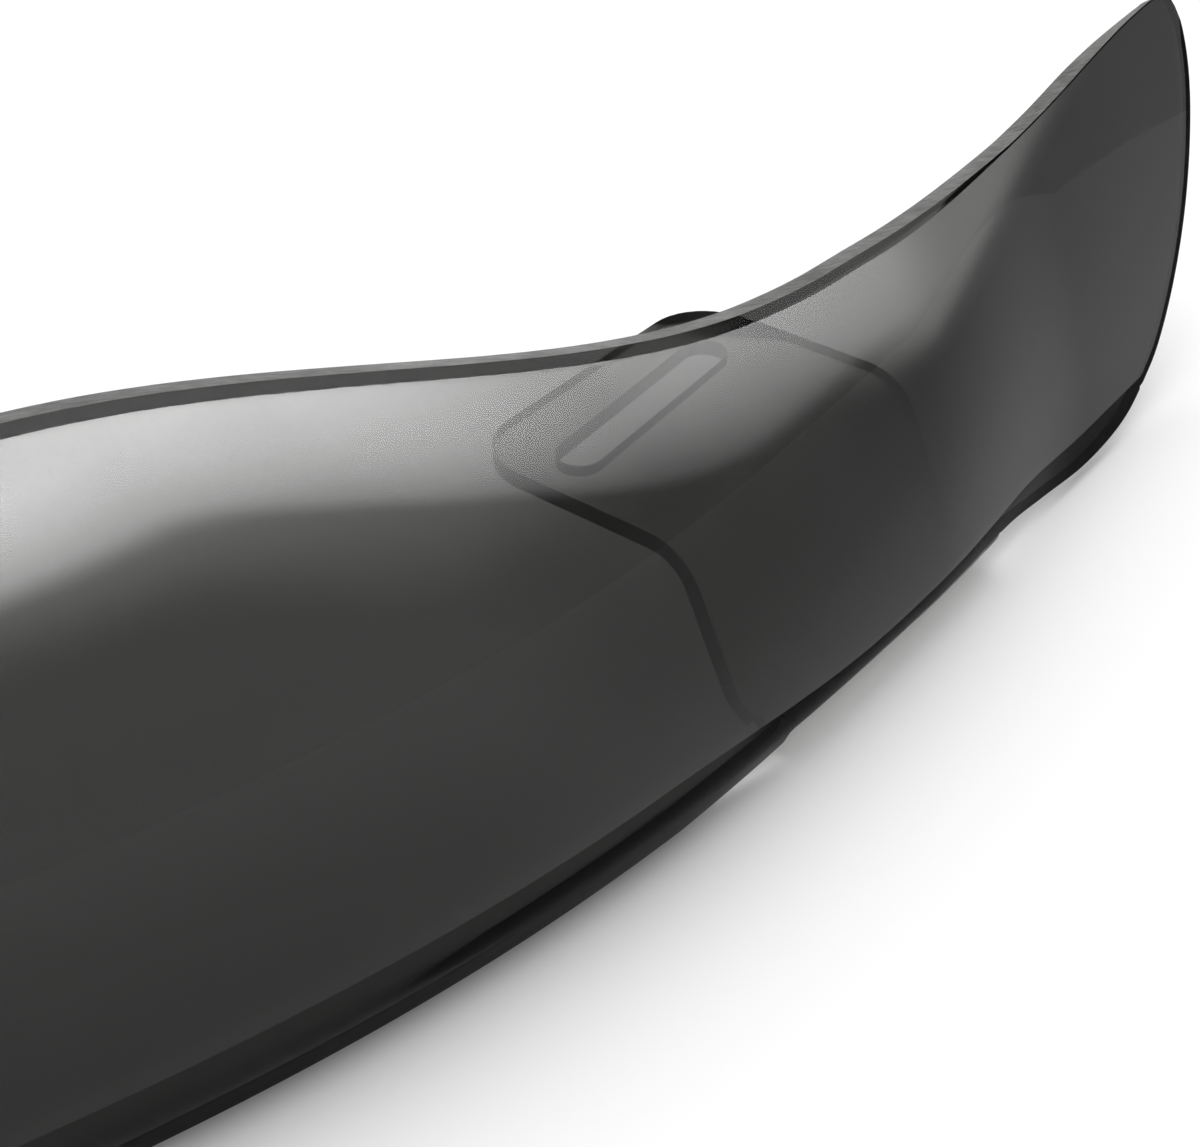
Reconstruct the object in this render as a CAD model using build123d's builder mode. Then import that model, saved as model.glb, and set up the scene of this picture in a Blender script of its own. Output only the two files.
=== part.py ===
"""Hood deflector: one sheet of smoke acrylic, formed to a tall swept blade with folded-back tabs.

Frame: X runs across the car, Y to the rear, Z up. The blade is symmetric about X = 0 and its
free lower edge stands on Z = 0. It is drawn from the blade's front middle, and moved at the end
so that the middle of its outer box is at X = 0, Y = 0. Sizes are in millimetres, angles in degrees.
"""
import math
import os

from build123d import *

os.makedirs("parts", exist_ok=True)

# Sheet
SHEET = 3.0

# Plan curve: how far the blade has turned to the rear, by distance along it from the centre
CENTRE_SWEEP_RATE = 0.0218
SHOULDER_START = 403.0
SHOULDER_LENGTH = 214.0
SHOULDER_TURN = 16.3
PLAN_STEP = 2.0

# Section: lean to the rear, by height along the sheet from the lower edge
BODY_LEAN_FOOT = -14.0
BODY_LEAN_CROWN = 41.0
BODY_LEAN_FROM = -12.0
BODY_LEAN_TO = 96.0
TIP_LEAN_FOOT = 16.0
TIP_LEAN_CROWN = 42.0
TIP_LEAN_TO = 105.0
TIP_BLEND_START = 530.0
TIP_BLEND_LENGTH = 240.0

# Lower band, turned under a little more than the face above it
BAND_TURN = 14.0
BAND_HEIGHT = 8.0
BAND_BEND = 8.0
BAND_FADE_START = 610.0
BAND_FADE_LENGTH = 60.0

# Height of the blade along the sheet
HEIGHT_CENTRE = 100.0
HEIGHT_DROP = 25.3
DROP_START = 466.0
DROP_LENGTH = 132.0
HEIGHT_EASE = 5.4
EASE_START = 579.0
EASE_LENGTH = 88.0
TIP_RISE = 4.4
TIP_RISE_START = 658.0
TIP_RISE_LENGTH = 80.0
TOP_CUT_TILT = 12.0
BLADE_ARC = 775.0
STATION_STEP = 35.0
STATION_COUNT = 11
CENTRE_STATIONS = (0.0, 120.0, 240.0, 340.0, 385.0)
SECTION_STOPS = (0.0, 0.05, 0.10, 0.15, 0.20, 0.28, 0.38, 0.50, 0.64, 0.82, 1.0)

# Free outline of the tip: distance along the blade and height along the sheet
TIP_OUTLINE = (
    (627.0, 9.0),
    (640.0, 8.2),
    (654.0, 5.7),
    (671.0, 3.6),
    (687.0, 5.0),
    (697.5, 9.8),
    (706.0, 16.0),
    (721.0, 32.5),
    (737.0, 53.0),
    (743.5, 64.0),
    (744.5, 70.0),
    (740.5, 73.2),
    (724.0, 75.2),
)
TIP_TRIM_LEAN = 22.0
TIP_TRIM_ARC = 700.0
TIP_TRIM_DEPTH = 90.0
TIP_TRIM_SPAN = 260.0

# Tabs: folded back from the lower edge, then bent level
TAB_WIDTH = 63.0
TAB_END_ARC = 604.0
TAB_INNER_ARC = 190.0
FOLD_HEIGHT = 9.0
FOLD_RADIUS = 7.5
WALL_LEAN = 25.0
BEND_RADIUS = 8.0
PLATE_TOP = 31.8
PLATE_SKIM = 0.1
TAB_REACH = 64.0
TAB_END_TURN = 2.5
TAB_CORNER_RADIUS = 11.0
TAB_PLAN_LENGTH = 90.0
TAB_STATIONS = 5
TAB_OVERWIDTH = 8.0
TAB_OVERREACH = 4.0
ROOT_LAP = 3.5
ROOT_INSET = 0.15
NOTCH_RAMP = 22.0
NOTCH_STEP_LEVEL = 4.8
NOTCH_SIDE_LAP = 1.0
NOTCH_RADIUS = 1.5
NOTCH_CLEAR = 0.6
NOTCH_UNDER = 3.0
NOTCH_DEPTH = 12.0

# Slots in the tab plates
SLOT_LENGTH = 46.0
SLOT_WIDTH = 8.0
SLOT_BACK = 50.0
SLOT_SHIFT = -1.9
SLOT_SKEW = 4.0


def smooth(u):
    """Third-degree ramp from 0 to 1."""
    u = min(max(u, 0.0), 1.0)
    return u * u * (3.0 - 2.0 * u)


def smoother(u):
    """Fifth-degree ramp from 0 to 1, which has no jump in curvature at its ends."""
    u = min(max(u, 0.0), 1.0)
    return u**3 * (10.0 - 15.0 * u + 6.0 * u * u)


def sweep_angle(arc):
    """Angle to the rear of the plan curve at a distance along it."""
    turn = SHOULDER_TURN * smoother((arc - SHOULDER_START) / SHOULDER_LENGTH)
    return CENTRE_SWEEP_RATE * arc + turn


def plan_point(arc):
    """Point of the plan curve at a distance along it, on the right half."""
    steps = max(1, round(arc / PLAN_STEP))
    step = arc / steps
    x = 0.0
    y = 0.0
    for i in range(steps):
        angle = math.radians(sweep_angle((i + 0.5) * step))
        x += math.cos(angle) * step
        y += math.sin(angle) * step
    return x, y


def lean(arc, height):
    """Lean to the rear of the section at a distance along the blade."""
    body_ramp = smooth((height - BODY_LEAN_FROM) / (BODY_LEAN_TO - BODY_LEAN_FROM))
    body = BODY_LEAN_FOOT + (BODY_LEAN_CROWN - BODY_LEAN_FOOT) * body_ramp
    tip = TIP_LEAN_FOOT + (TIP_LEAN_CROWN - TIP_LEAN_FOOT) * smooth(height / TIP_LEAN_TO)
    mix = smooth((arc - TIP_BLEND_START) / TIP_BLEND_LENGTH)
    band = BAND_TURN * (1.0 - smooth((height - BAND_HEIGHT) / BAND_BEND))
    fade = 1.0 - smooth((arc - BAND_FADE_START) / BAND_FADE_LENGTH)
    return (1.0 - mix) * body + mix * tip - band * fade


def section_point(arc, height, depth=0.0):
    """Point of the section: distance to the rear and level, at a depth behind the front face."""
    steps = max(1, math.ceil(abs(height)))
    step = height / steps
    back = 0.0
    level = 0.0
    for i in range(steps):
        angle = math.radians(lean(arc, (i + 0.5) * step))
        back += math.sin(angle) * step
        level += math.cos(angle) * step
    angle = math.radians(lean(arc, height))
    return back + depth * math.cos(angle), level - depth * math.sin(angle)


def blade_height(arc):
    """Height of the blade along the sheet."""
    drop = HEIGHT_DROP * smooth((arc - DROP_START) / DROP_LENGTH)
    ease = HEIGHT_EASE * smooth((arc - EASE_START) / EASE_LENGTH)
    rise = TIP_RISE * smooth((arc - TIP_RISE_START) / TIP_RISE_LENGTH)
    return HEIGHT_CENTRE - drop - ease + rise


def section_plane(arc):
    """Upright plane across the blade: local x to the rear and local y up."""
    x, y = plan_point(abs(arc))
    angle = math.radians(sweep_angle(abs(arc)))
    side = 1.0 if arc >= 0 else -1.0
    rear = Vector(-math.sin(angle) * side, math.cos(angle), 0)
    along = rear.cross(Vector(0, 0, 1))
    return Plane(origin=(x * side, y, 0), x_dir=rear, z_dir=along)


def blade_section(arc):
    """Closed section of the sheet at one station.

    The top is cut nearly level after forming, so the rear face reaches a little higher.
    """
    top = blade_height(abs(arc))
    cut_angle = math.radians(lean(abs(arc), top) - TOP_CUT_TILT)
    rear_top = top + SHEET * math.tan(cut_angle)
    stops = SECTION_STOPS
    front = [section_point(abs(arc), top * stop) for stop in stops]
    rear = [section_point(abs(arc), rear_top * stop, SHEET) for stop in stops]
    with BuildSketch(section_plane(arc)) as sketch:
        with BuildLine():
            add(Edge.make_spline(front, parameters=stops))
            add(Edge.make_spline(rear, parameters=stops))
            Line(front[-1], rear[-1])
            Line(front[0], rear[0])
        make_face()
    return sketch.sketch


def stations():
    """Stations of the blade from the left end to the right end."""
    outer = [BLADE_ARC - STATION_STEP * i for i in range(STATION_COUNT)]
    right = sorted(list(CENTRE_STATIONS) + outer)
    return [-s for s in reversed(right) if s > 0] + right


def tab_section(arc):
    """Closed section of a tab's sheet, from its root in the blade to the rear edge.

    The plate is drawn a skim too high, and is cut flat afterwards to seat the hood.
    """
    root_height = FOLD_HEIGHT + ROOT_LAP
    front_root = section_point(arc, root_height, ROOT_INSET)
    back_root = section_point(arc, root_height, SHEET + ROOT_INSET)
    front_start = section_point(arc, FOLD_HEIGHT, ROOT_INSET)
    back_start = section_point(arc, FOLD_HEIGHT, SHEET + ROOT_INSET)
    foot_lean = lean(arc, FOLD_HEIGHT)
    down = (-math.sin(math.radians(foot_lean)), -math.cos(math.radians(foot_lean)))
    fold_turn = 180.0 + foot_lean - WALL_LEAN
    bend_turn = 90.0 - WALL_LEAN
    bend_rise = BEND_RADIUS * (1.0 - math.cos(math.radians(bend_turn)))
    plate_under_level = PLATE_TOP - SHEET
    reach = TAB_REACH + TAB_OVERREACH
    skim = PLATE_SKIM / math.cos(math.radians(WALL_LEAN))
    with BuildSketch(section_plane(arc)) as sketch:
        with BuildLine():
            Line(front_root, front_start)
            fold_out = JernArc(front_start, down, FOLD_RADIUS, fold_turn)
            wall_rise = plate_under_level - bend_rise - (fold_out @ 1).Y
            wall = wall_rise / math.cos(math.radians(WALL_LEAN))
            wall_out = Line(fold_out @ 1, fold_out @ 1 + (fold_out % 1) * wall)
            bend_out = JernArc(wall_out @ 1, wall_out % 1, BEND_RADIUS, -bend_turn)
            plate_under = Line(bend_out @ 1, (reach, (bend_out @ 1).Y))
            fold_in = JernArc(back_start, down, FOLD_RADIUS - SHEET, fold_turn)
            wall_in = Line(fold_in @ 1, fold_in @ 1 + (fold_in % 1) * (wall + skim))
            bend_in = JernArc(wall_in @ 1, wall_in % 1, BEND_RADIUS + SHEET, -bend_turn)
            plate_over = Line(bend_in @ 1, (reach, (bend_in @ 1).Y))
            Line(plate_under @ 1, plate_over @ 1)
            Line(back_start, back_root)
            Line(back_root, front_root)
        make_face()
    return sketch.sketch


def tab_arcs(centre_arc):
    """Stations across one tab, a little past its two sides."""
    span = TAB_WIDTH + TAB_OVERWIDTH
    step = span / (TAB_STATIONS - 1)
    return [centre_arc - span / 2 + step * i for i in range(TAB_STATIONS)]


def tab_turn(centre_arc):
    """Turn of a tab's plate in plan from square to the blade; the inner plates lie along X."""
    return TAB_END_TURN if centre_arc == TAB_END_ARC else -sweep_angle(centre_arc)


def tab_plan_plane(centre_arc, level):
    """Level plane at a tab: local x along its plate and local y to the rear."""
    x, y = plan_point(centre_arc)
    angle = math.radians(sweep_angle(centre_arc) + tab_turn(centre_arc))
    along = Vector(math.cos(angle), math.sin(angle), 0)
    return Plane(origin=(x, y, level), x_dir=along, z_dir=(0, 0, 1))


def tip_trim_plane():
    """Plane square to the sheet at the tip: local x along the blade and local y up the sheet."""
    x, y = plan_point(TIP_TRIM_ARC)
    angle = math.radians(sweep_angle(TIP_TRIM_ARC))
    tilt = math.radians(TIP_TRIM_LEAN)
    along = Vector(math.cos(angle), math.sin(angle), 0)
    rear = Vector(-math.sin(angle), math.cos(angle), 0)
    up_sheet = rear * math.sin(tilt) + Vector(0, 0, math.cos(tilt))
    return Plane(origin=(x, y, 0), x_dir=along, z_dir=along.cross(up_sheet))


def surface_point(arc, height):
    """Point of the front face in space, on the right half."""
    back, level = section_point(arc, height)
    x, y = plan_point(arc)
    angle = math.radians(sweep_angle(arc))
    return Vector(x - math.sin(angle) * back, y + math.cos(angle) * back, level)


def notch_tool(centre_arc, left_ramp, right_ramp):
    """Solid that takes the lower band away at a tab, with a sloped relief beside the fold."""
    x, y = plan_point(centre_arc)
    angle = math.radians(sweep_angle(centre_arc))
    along = Vector(math.cos(angle), math.sin(angle), 0)
    face = Plane(origin=(x, y, 0), x_dir=along, z_dir=(math.sin(angle), -math.cos(angle), 0))
    half = TAB_WIDTH / 2 - NOTCH_SIDE_LAP
    top = section_point(centre_arc, FOLD_HEIGHT + NOTCH_CLEAR)[1]
    left = [(-half, -NOTCH_UNDER)]
    right = [(half, -NOTCH_UNDER)]
    slope = (NOTCH_STEP_LEVEL + NOTCH_UNDER) / NOTCH_STEP_LEVEL
    if left_ramp:
        left = [(-half - left_ramp * slope, -NOTCH_UNDER), (-half, NOTCH_STEP_LEVEL)]
    if right_ramp:
        right = [(half, NOTCH_STEP_LEVEL), (half + right_ramp * slope, -NOTCH_UNDER)]
    with BuildPart() as tool:
        with BuildSketch(face) as outline:
            with BuildLine():
                Polyline(*left, (-half, top), (half, top), *right, close=True)
            make_face()
            fillet(outline.vertices().group_by(Axis.Y)[-1], radius=NOTCH_RADIUS)
        extrude(amount=NOTCH_DEPTH, both=True)
    return tool.part


def tip_tool():
    """Solid outside the free outline of the right tip."""
    face = tip_trim_plane()
    outline = [face.to_local_coords(surface_point(arc, h)) for arc, h in TIP_OUTLINE]
    points = [(p.X, p.Y) for p in outline]
    with BuildPart() as tool:
        with BuildSketch(face):
            with BuildLine():
                edge = Spline(*points)
                Polyline(
                    edge @ 1,
                    (points[-1][0], TIP_TRIM_SPAN),
                    (TIP_TRIM_SPAN, TIP_TRIM_SPAN),
                    (TIP_TRIM_SPAN, -TIP_TRIM_SPAN),
                    (points[0][0], -TIP_TRIM_SPAN),
                    edge @ 0,
                )
            make_face()
        extrude(amount=TIP_TRIM_DEPTH, both=True)
    return tool.part


def tab(centre_arc, slot_shift, slot_skew):
    """One folded-back tab with its rounded rear corners and its slot."""
    with BuildPart() as piece:
        for arc in tab_arcs(centre_arc):
            add(tab_section(arc))
        loft()
        with BuildSketch(tab_plan_plane(centre_arc, -NOTCH_UNDER)) as outline:
            with Locations((0, TAB_REACH - TAB_PLAN_LENGTH / 2)):
                Rectangle(TAB_WIDTH, TAB_PLAN_LENGTH)
            fillet(outline.vertices().group_by(Axis.Y)[-1], radius=TAB_CORNER_RADIUS)
        extrude(amount=NOTCH_UNDER + PLATE_TOP, mode=Mode.INTERSECT)
        with BuildSketch(tab_plan_plane(centre_arc, PLATE_TOP)):
            with Locations(Location((slot_shift, SLOT_BACK, 0), (0, 0, slot_skew))):
                SlotOverall(SLOT_LENGTH, SLOT_WIDTH)
        extrude(amount=-SHEET * 2, mode=Mode.SUBTRACT)
    return piece.part


# Formed blade over its whole width, as one loft
with BuildPart() as deflector:
    for station in stations():
        add(blade_section(station))
    loft()

    # Free outlines of both tips
    tip_cut = tip_tool()
    add(tip_cut, mode=Mode.SUBTRACT)
    add(mirror(tip_cut, about=Plane.YZ, mode=Mode.PRIVATE), mode=Mode.SUBTRACT)

    # Relief of the lower band at each tab
    for tab_arc, right_ramp in ((TAB_END_ARC, 0.0), (TAB_INNER_ARC, NOTCH_RAMP)):
        notch = notch_tool(tab_arc, NOTCH_RAMP, right_ramp)
        add(notch, mode=Mode.SUBTRACT)
        add(mirror(notch, about=Plane.YZ, mode=Mode.PRIVATE), mode=Mode.SUBTRACT)

    # Folded tabs
    for tab_arc, shift, skew in ((TAB_END_ARC, SLOT_SHIFT, SLOT_SKEW), (TAB_INNER_ARC, 0.0, 0.0)):
        right_tab = tab(tab_arc, shift, skew)
        add(right_tab)
        add(mirror(right_tab, about=Plane.YZ, mode=Mode.PRIVATE))

# Origin at the middle of the part's outer box, on the plane that the free lower edge stands on
box = deflector.part.bounding_box()
to_origin = Location((-(box.min.X + box.max.X) / 2, -(box.min.Y + box.max.Y) / 2, -box.min.Z))
finished = deflector.part.moved(to_origin)
finished.label = "deflector"
export_step(finished, "parts/deflector.step")
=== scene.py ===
"""Looks of a hood deflector of smoke acrylic sheet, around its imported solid.

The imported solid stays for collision. The sheet shown here is made finer from the same plan curve,
section and tab sizes, so that its gloss runs smoothly, and its cut edges get a finish of their own.
Frame: X runs across the car, Y to the rear, Z up. Sizes are in millimetres and angles in degrees
until a point is placed in the scene, which is in metres.
"""

import logging
import math
from dataclasses import dataclass
from enum import Enum
from typing import Any

import bmesh
import bpy
import numpy as np
from mathutils import Matrix, Vector


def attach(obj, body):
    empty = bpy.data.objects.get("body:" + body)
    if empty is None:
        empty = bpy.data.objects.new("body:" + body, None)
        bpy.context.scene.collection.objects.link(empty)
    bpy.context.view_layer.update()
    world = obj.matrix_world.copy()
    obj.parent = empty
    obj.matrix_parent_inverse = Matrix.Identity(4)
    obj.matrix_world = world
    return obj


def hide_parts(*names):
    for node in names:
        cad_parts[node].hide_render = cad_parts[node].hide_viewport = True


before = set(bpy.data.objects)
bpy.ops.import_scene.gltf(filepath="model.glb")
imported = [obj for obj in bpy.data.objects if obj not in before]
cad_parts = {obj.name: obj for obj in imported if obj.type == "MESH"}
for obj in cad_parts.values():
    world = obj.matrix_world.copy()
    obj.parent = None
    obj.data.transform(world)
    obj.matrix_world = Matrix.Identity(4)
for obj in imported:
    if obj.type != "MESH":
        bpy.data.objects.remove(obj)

log = logging.getLogger("hood_deflector")

MM = 0.001
GREY_WARMTH = 0.975
Array = np.ndarray
Pair = tuple[float, float]


def smooth(u: Array) -> Array:
    """Third-degree ramp from 0 to 1.

    Args:
        u: Position along the ramp.

    Returns:
        The ramp's value.
    """
    u = np.clip(u, 0.0, 1.0)
    return u * u * (3.0 - 2.0 * u)


def smoother(u: Array) -> Array:
    """Fifth-degree ramp from 0 to 1, with no jump in curvature at its ends.

    Args:
        u: Position along the ramp.

    Returns:
        The ramp's value.
    """
    u = np.clip(u, 0.0, 1.0)
    return u**3 * (10.0 - 15.0 * u + 6.0 * u * u)


def eased(value: Array, start: float, length: float) -> Array:
    """Share of a change that runs smoothly over a length.

    Args:
        value: Places along the change.
        start: Where it starts.
        length: The length that it takes.

    Returns:
        The share at each place, from 0 to 1.
    """
    return smooth((value - start) / length)


def turned(vector: tuple[Array, Array], angle: Array) -> tuple[Array, Array]:
    """Turns section vectors to the left.

    Args:
        vector: The two components.
        angle: Turn in radians.

    Returns:
        The turned components.
    """
    c, s = np.cos(angle), np.sin(angle)
    return vector[0] * c - vector[1] * s, vector[0] * s + vector[1] * c


class Finish(Enum):
    """Finishes of the sheet, by material slot."""

    GLOSS_FACE = 0
    CUT_EDGE = 1
    # Painted shade: a darker copy of the smoke acrylic at the foot, the top edge and the tabs'
    # folds.
    DARK_MARGIN = 2
    # Painted light: the tabs' sheet is a lighter copy of the smoke acrylic.
    TAB_SHEET = 3
    # Painted light: the tabs' cut edges are a lighter copy of the cut edge.
    TAB_EDGE = 4


class Sock:
    """A node socket that takes part in Python arithmetic."""

    def __init__(self, tree: bpy.types.NodeTree, socket: bpy.types.NodeSocket) -> None:
        """Wraps an output socket of a node tree."""
        self.tree = tree
        self.socket = socket

    def math(self, operation: str, *values: Any) -> "Sock":
        """Adds a Math node.

        Args:
            operation: The node's operation.
            values: Sockets or numbers of its inputs.

        Returns:
            The node's result.
        """
        inputs = dict(enumerate(values))
        return add_node(self.tree, "ShaderNodeMath", {"operation": operation}, inputs)

    def __add__(self, other: Any) -> "Sock":
        """Sum."""
        return self.math("ADD", self, other)

    def __radd__(self, other: Any) -> "Sock":
        """Reflected sum."""
        return self.math("ADD", other, self)

    def __sub__(self, other: Any) -> "Sock":
        """Difference."""
        return self.math("SUBTRACT", self, other)

    def __rsub__(self, other: Any) -> "Sock":
        """Reflected difference."""
        return self.math("SUBTRACT", other, self)

    def __mul__(self, other: Any) -> "Sock":
        """Product."""
        return self.math("MULTIPLY", self, other)

    def __rmul__(self, other: Any) -> "Sock":
        """Reflected product."""
        return self.math("MULTIPLY", other, self)

    def __truediv__(self, other: Any) -> "Sock":
        """Quotient."""
        return self.math("DIVIDE", self, other)

    def __rtruediv__(self, other: Any) -> "Sock":
        """Reflected quotient."""
        return self.math("DIVIDE", other, self)

    def absolute(self) -> "Sock":
        """The value without its sign."""
        return self.math("ABSOLUTE", self)

    def at_least(self, limit: Any) -> "Sock":
        """The value, or the limit where the value is lower."""
        return self.math("MAXIMUM", self, limit)

    def at_most(self, limit: Any) -> "Sock":
        """The value, or the limit where the value is higher."""
        return self.math("MINIMUM", self, limit)

    def clamped(self) -> "Sock":
        """The value kept between 0 and 1."""
        return self.at_least(0.0).at_most(1.0)

    def ramp(self, low: Any, high: Any) -> "Sock":
        """Smooth ramp from 0 at one value to 1 at another.

        Args:
            low: Value where the ramp starts.
            high: Value where it ends.

        Returns:
            The ramp's value.
        """
        u = ((self - low) / (high - low)).clamped()
        return u * u * (3.0 - 2.0 * u)


def new_node(
    tree: bpy.types.NodeTree,
    kind: str,
    settings: dict[str, Any] | None = None,
    values: dict[Any, Any] | None = None,
) -> bpy.types.Node:
    """Makes any node.

    Args:
        tree: The node tree.
        kind: The node's type.
        settings: Attributes that are set first.
        values: Sockets, by name or number, and the values or links that they get.

    Returns:
        The node.
    """
    node = tree.nodes.new(kind)
    for name, value in (settings or {}).items():
        setattr(node, name, value)
    for name, value in (values or {}).items():
        if isinstance(value, Sock):
            tree.links.new(value.socket, node.inputs[name])
        else:
            node.inputs[name].default_value = value
    return node


def add_node(
    tree: bpy.types.NodeTree,
    kind: str,
    settings: dict[str, Any] | None = None,
    values: dict[Any, Any] | None = None,
    output: Any = 0,
) -> Sock:
    """Adds a node whose result is used further.

    Args:
        tree: The node tree.
        kind: The node's type.
        settings: Attributes that are set first.
        values: Sockets, by name or number, and the values or links that they get.
        output: The output that is returned.

    Returns:
        The chosen output.
    """
    return Sock(tree, new_node(tree, kind, settings, values).outputs[output])


def split(tree: bpy.types.NodeTree, vector: Sock) -> tuple[Sock, Sock, Sock]:
    """Takes a vector apart.

    Args:
        tree: The node tree.
        vector: The vector.

    Returns:
        Its three components.
    """
    node = new_node(tree, "ShaderNodeSeparateXYZ", values={0: vector})
    x, y, z = (Sock(tree, output) for output in node.outputs)
    return x, y, z


def grey(level: float) -> tuple[float, float, float, float]:
    """A faintly warm grey, as linear values.

    Args:
        level: Its level from 0 to 1.

    Returns:
        The colour with full alpha.
    """
    return level, level, level * GREY_WARMTH, 1.0


def mixed(tree: bpy.types.NodeTree, factor: Any, low: Any, high: Any) -> Sock:
    """Mixes two colours.

    Args:
        tree: The node tree.
        factor: Share of the second colour.
        low: First colour.
        high: Second colour.

    Returns:
        The mixed colour.
    """
    values = {0: factor, 6: low, 7: high}
    return add_node(tree, "ShaderNodeMix", {"data_type": "RGBA"}, values, output=2)


def new_material(name: str) -> tuple[bpy.types.Material, bpy.types.NodeTree]:
    """Makes an empty node material.

    Args:
        name: The material's name.

    Returns:
        The material and its node tree.
    """
    material = bpy.data.materials.new(name)
    material.use_nodes = True
    material.node_tree.nodes.clear()
    return material, material.node_tree


def set_output(
    tree: bpy.types.NodeTree, shader: Sock, kind: str = "ShaderNodeOutputMaterial"
) -> None:
    """Links a shader to the tree's output.

    Args:
        tree: The node tree.
        shader: The shader.
        kind: The output node's type.
    """
    new_node(tree, kind, values={"Surface": shader})


@dataclass(frozen=True)
class Acrylic:
    """Polished acrylic sheet: what the smoke finishes share.

    The patterns' scales are per metre, and the waves' depth is in metres.
    """

    name: str
    tint: float
    refraction: float = 1.18
    roughness: float = 0.03
    roughness_change: float = 0.03
    haze_scale: float = 60.0
    haze_span: Pair = (0.45, 0.75)
    wave_scale: float = 14.0
    wave_height: float = 0.02
    wave_depth: float = 0.002

    def tone(self, tree: bpy.types.NodeTree, place: Sock) -> Sock:
        """Sets how much light the sheet lets through. Each finish has its own way.

        Args:
            tree: The node tree.
            place: Object coordinates.

        Returns:
            The sheet's colour.
        """
        raise NotImplementedError

    def build(self) -> bpy.types.Material:
        """Makes the material."""
        material, tree = new_material(self.name)
        place = add_node(tree, "ShaderNodeTexCoord", output="Object")
        haze = add_node(
            tree,
            "ShaderNodeTexNoise",
            values={"Vector": place, "Scale": self.haze_scale, "Detail": 3.0},
        )
        wave = add_node(
            tree,
            "ShaderNodeTexNoise",
            values={"Vector": place, "Scale": self.wave_scale, "Detail": 1.0},
        )
        bump = add_node(
            tree,
            "ShaderNodeBump",
            values={"Strength": self.wave_height, "Distance": self.wave_depth, "Height": wave},
        )
        shader = add_node(
            tree,
            "ShaderNodeBsdfPrincipled",
            values={
                "Base Color": self.tone(tree, place),
                "Roughness": self.roughness + self.roughness_change * haze.ramp(*self.haze_span),
                "IOR": self.refraction,
                "Transmission Weight": 1.0,
                "Normal": bump,
            },
        )
        set_output(tree, shader)
        return material


@dataclass(frozen=True)
class PaintedLightAcrylic(Acrylic):
    """Smoke acrylic of the blade, whose smoke looks thinner where forming has drawn the sheet.

    The painted light zone lies under the top edge. It widens at the shoulder, and rises and narrows
    toward the tips. Levels, widths and spans are in metres, the spans from the middle of the part.
    """

    name: str = "smoke_acrylic_gloss"
    tint: float = 0.045
    painted_light_tint: float = 0.13
    tip_shade_tint: float = 0.006
    tip_shade_span: Pair = (0.545, 0.600)
    painted_light_tip_tint: float = 0.065
    painted_light_tip_span: Pair = (0.590, 0.675)
    body_level: float = 0.068
    body_width: float = 0.010
    shoulder_span: Pair = (0.475, 0.515)
    painted_light_level: float = 0.056
    painted_light_width: float = 0.024
    narrow_span: Pair = (0.54, 0.60)
    tip_drop: float = 0.0065
    tip_width: float = 0.006
    tip_rise: float = 0.25
    tip_rise_start: float = 0.60

    def tone(self, tree: bpy.types.NodeTree, place: Sock) -> Sock:
        """Sets how much light the sheet lets through, with painted light and painted shade by
        place.

        Args:
            tree: The node tree.
            place: Object coordinates.

        Returns:
            The sheet's colour.
        """
        across, _, level = split(tree, place)
        side = across.absolute()
        shoulder = side.ramp(*self.shoulder_span)
        near_tip = side.ramp(*self.narrow_span)
        start = self.body_level + (self.painted_light_level - self.body_level) * shoulder
        start = start + self.tip_rise * (side - self.tip_rise_start).at_least(0.0)
        start = start - self.tip_drop * near_tip
        width = self.body_width + (self.painted_light_width - self.body_width) * shoulder
        width = width + (self.tip_width - self.painted_light_width) * near_tip
        # Painted light: the tint gets lighter above a slanting level under the top edge.
        painted_light = (level - start) / width
        tip = side.ramp(*self.painted_light_tip_span)
        # Painted shade: the tint gets darker low down toward the tips, and the painted light dimmer
        # there.
        low = mixed(tree, side.ramp(*self.tip_shade_span), grey(self.tint), grey(self.tip_shade_tint))
        high = mixed(tree, tip, grey(self.painted_light_tint), grey(self.painted_light_tip_tint))
        return mixed(tree, painted_light.ramp(0.0, 1.0), low, high)


@dataclass(frozen=True)
class PlainAcrylic(Acrylic):
    """Smoke acrylic of one tone, with painted shade: a darker rim at the rear of the end tabs.

    The painted shade lies behind a slanting line, whose span is in metres.
    """

    rear_shade_tint: float = 0.015
    rear_shade_line: Pair = (0.350, 0.353)
    rear_shade_slant: float = 0.5

    def tone(self, tree: bpy.types.NodeTree, place: Sock) -> Sock:
        """Sets how much light the sheet lets through.

        Args:
            tree: The node tree.
            place: Object coordinates.

        Returns:
            The sheet's colour.
        """
        across, back, _ = split(tree, place)
        # Painted shade: darker behind a slanting line at the rear.
        rear = back + self.rear_shade_slant * across.absolute()
        return mixed(tree, rear.ramp(*self.rear_shade_line), grey(self.tint), grey(self.rear_shade_tint))


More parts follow.
